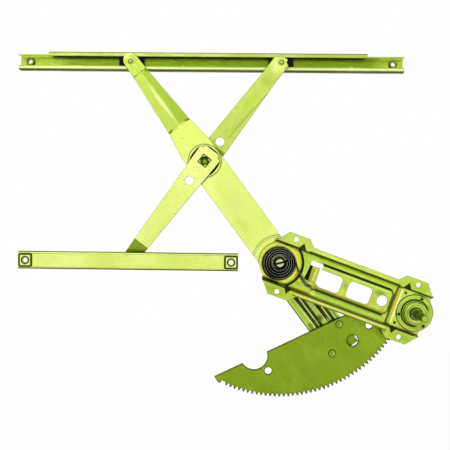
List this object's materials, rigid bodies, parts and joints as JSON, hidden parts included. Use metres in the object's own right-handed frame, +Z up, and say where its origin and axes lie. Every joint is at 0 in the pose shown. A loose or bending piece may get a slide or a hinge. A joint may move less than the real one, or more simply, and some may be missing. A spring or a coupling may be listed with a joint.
{
  "type": "window regulator",
  "caption": "Hand-cranked crossed-arm window regulator: a toothed sector and pinion raise a lipped glass rail, with a spiral counterbalance spring at the pivot.",
  "frame": {"origin": "middle of the back plate's four bolt holes, on the face of its ears that meets the door's inner panel", "axes": "upright as installed: +Z up, +X along the glass rail towards the crank end, +Y outwards to the glass, so the crank spindle points along -Y"},
  "size_m": [0.6075, 0.0796, 0.5026],
  "materials": {
    "pale_passivated_steel": "pale lime zinc and chromate passivation, satin",
    "olive_passivated_steel": "olive green zinc and chromate passivation, satin",
    "golden_passivated_steel": "lime and gold iridescent zinc and chromate passivation, satin",
    "bare_steel": "bright turned steel",
    "blackened_spring_steel": "oil blackened spring steel",
    "black_nylon": "black moulded nylon"
  },
  "bodies": {
    "back_plate": {"back_plate": "golden_passivated_steel", "clutch_housing": "golden_passivated_steel", "housing_rivets": "golden_passivated_steel", "spindle_bushing": "golden_passivated_steel", "brake_spring": "blackened_spring_steel", "counterbalance_spring": "blackened_spring_steel", "guide_channel": "pale_passivated_steel", "guide_channel_nuts": "pale_passivated_steel"},
    "lift_arm": {"lift_arm": "pale_passivated_steel", "sector_gear": "olive_passivated_steel", "sector_rivets": "olive_passivated_steel", "pivot_stud": "bare_steel", "pivot_washer": "bare_steel", "rear_stud": "pale_passivated_steel"},
    "equalizer": {"equalizer_arm_lower": "pale_passivated_steel", "equalizer_arm_upper": "pale_passivated_steel", "cross_pivot_key": "pale_passivated_steel", "cross_pivot_washer": "pale_passivated_steel", "cross_pivot_spacer": "pale_passivated_steel", "front_stud": "pale_passivated_steel", "lower_stud": "pale_passivated_steel"},
    "rear_slide": {"rear_slide": "black_nylon"},
    "front_slide": {"front_slide": "black_nylon"},
    "lower_slide": {"lower_slide": "black_nylon"},
    "glass_rail": {"glass_rail": "pale_passivated_steel", "glass_rail_nuts": "pale_passivated_steel"},
    "crank": {"spindle": "golden_passivated_steel", "pinion": "olive_passivated_steel", "pinion_washer": "olive_passivated_steel"}
  },
  "joints": [
    {"name": "lift", "type": "hinge", "parent": "back_plate", "child": "lift_arm", "pos_m": [-0.09709, 0, 0.03495], "axis": [0, -1, 0], "range_deg": [0, 88], "deforming": ["counterbalance_spring"]},
    {"name": "cross", "type": "hinge", "parent": "lift_arm", "child": "equalizer", "pos_m": [-0.20722, 0, 0.1811], "axis": [0, -1, 0], "range_deg": [-177, 1]},
    {"name": "rear_slide_pivot", "type": "hinge", "parent": "lift_arm", "child": "rear_slide", "pos_m": [-0.31735, 0, 0.32725], "axis": [0, -1, 0], "range_deg": [-89, 1]},
    {"name": "front_slide_pivot", "type": "hinge", "parent": "equalizer", "child": "front_slide", "pos_m": [-0.09709, 0, 0.32725], "axis": [0, -1, 0], "range_deg": [-1, 89]},
    {"name": "lower_slide_pivot", "type": "hinge", "parent": "equalizer", "child": "lower_slide", "pos_m": [-0.31735, 0, 0.03495], "axis": [0, -1, 0], "range_deg": [-1, 89]},
    {"name": "rail_slide", "type": "slide", "parent": "front_slide", "child": "glass_rail", "axis": [1, 0, 0], "range_m": [-0.055, 0.002]},
    {"name": "crank", "type": "hinge", "parent": "back_plate", "child": "crank", "pos_m": [0.09709, 0, -0.03495], "axis": [0, -1, 0], "range_deg": [-1475, 3]}
  ],
  "couplings": [
    {"joint": "cross", "follows": "lift", "ratio": -2},
    {"joint": "rear_slide_pivot", "follows": "lift", "ratio": -1},
    {"joint": "front_slide_pivot", "follows": "lift", "ratio": 1},
    {"joint": "lower_slide_pivot", "follows": "lift", "ratio": 1},
    {"joint": "crank", "follows": "lift", "ratio": -16.727}
  ]
}
